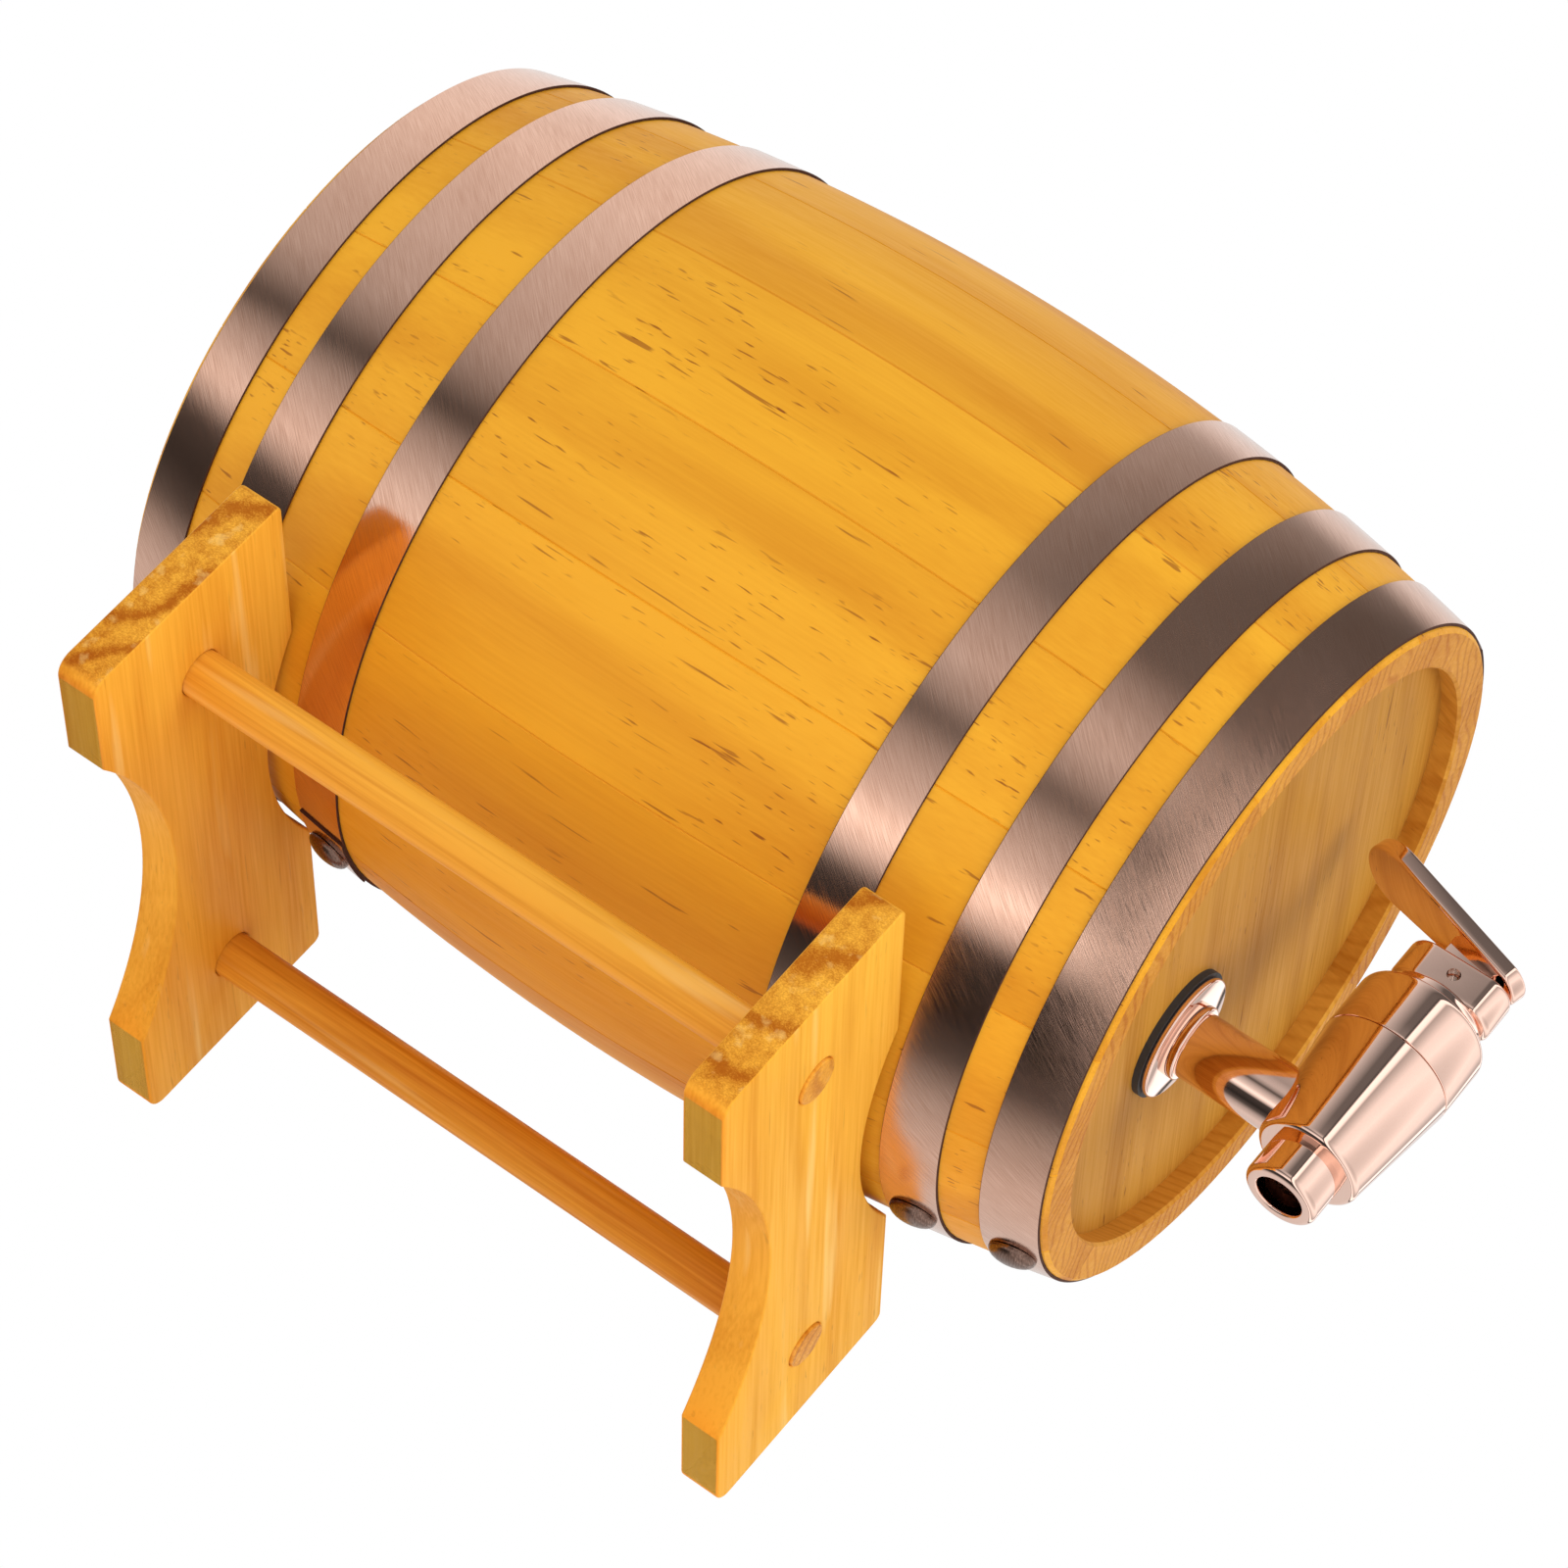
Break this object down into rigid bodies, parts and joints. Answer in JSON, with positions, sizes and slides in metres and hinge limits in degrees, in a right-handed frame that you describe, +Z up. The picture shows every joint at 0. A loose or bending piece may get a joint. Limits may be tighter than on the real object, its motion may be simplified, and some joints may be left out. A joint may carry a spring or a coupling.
{
  "type": "oak cask liquor dispenser",
  "caption": "Small wooden cask with copper hoops on a two-board stand, with a polished rose-gold tap in its front head.",
  "frame": {"origin": "bottom centre of the whole object's box, on the surface that the stand's feet rest on", "axes": "+Z up, +Y along the cask from the tap to the rear head, +X to the right of someone who faces the tap"},
  "size_m": [0.1822, 0.286, 0.2286],
  "materials": {
    "cask_wood": "varnished",
    "head_wood": "varnished",
    "stand_wood": "varnished",
    "hoop_metal": "brushed copper",
    "rivet_metal": "aged",
    "tap_metal": "polished rose gold",
    "pin_steel": "satin",
    "seal_rubber": "matte",
    "stem_brass": "satin"
  },
  "bodies": {
    "stand": {"front_board": "stand_wood", "rear_board": "stand_wood", "dowel_left": "stand_wood", "dowel_right": "stand_wood"},
    "cask": {"stave_01": "cask_wood", "stave_02": "cask_wood", "stave_03": "cask_wood", "stave_04": "cask_wood", "stave_05": "cask_wood", "stave_06": "cask_wood", "stave_07": "cask_wood", "stave_08": "cask_wood", "stave_09": "cask_wood", "stave_10": "cask_wood", "stave_11": "cask_wood", "stave_12": "cask_wood", "stave_13": "cask_wood", "stave_14": "cask_wood", "stave_15": "cask_wood", "stave_16": "cask_wood", "front_head": "head_wood", "rear_head": "head_wood", "hoop_front_end": "hoop_metal", "hoop_front_quarter": "hoop_metal", "hoop_front_bilge": "hoop_metal", "hoop_rear_end": "hoop_metal", "hoop_rear_quarter": "hoop_metal", "hoop_rear_bilge": "hoop_metal", "hoop_rivets": "rivet_metal", "tap_gasket": "seal_rubber", "tap_spout": "tap_metal", "tap_body": "tap_metal", "tap_cap": "tap_metal", "tap_bonnet": "tap_metal", "lever_pin": "pin_steel", "shank_washer": "seal_rubber", "shank_nut": "pin_steel", "valve_spring": "pin_steel"},
    "bung": {"bung": "stand_wood"},
    "lever": {"tap_lever": "tap_metal"},
    "valve": {"valve_stem": "stem_brass", "valve_seal": "seal_rubber"}
  },
  "joints": [
    {"name": "cask_lift", "type": "slide", "parent": "stand", "child": "cask", "axis": [0, 0, 1], "range_m": [0, 0.12]},
    {"name": "bung_pull", "type": "slide", "parent": "cask", "child": "bung", "axis": [0, 0, 1], "range_m": [0, 0.04]},
    {"name": "lever_press", "type": "hinge", "parent": "cask", "child": "lever", "pos_m": [0, -0.1281, 0.1512], "axis": [-1, 0, 0], "range_deg": [0, 16], "stiffness_Nm_per_rad": 0.25, "springref_deg": -8.59},
    {"name": "valve_lift", "type": "slide", "parent": "cask", "child": "valve", "axis": [0, 0, 1], "range_m": [0, 0.0021], "deforming": ["valve_spring"]}
  ],
  "couplings": [
    {"joint": "valve_lift", "follows": "lever_press", "m_per_rad": 0.00716}
  ]
}
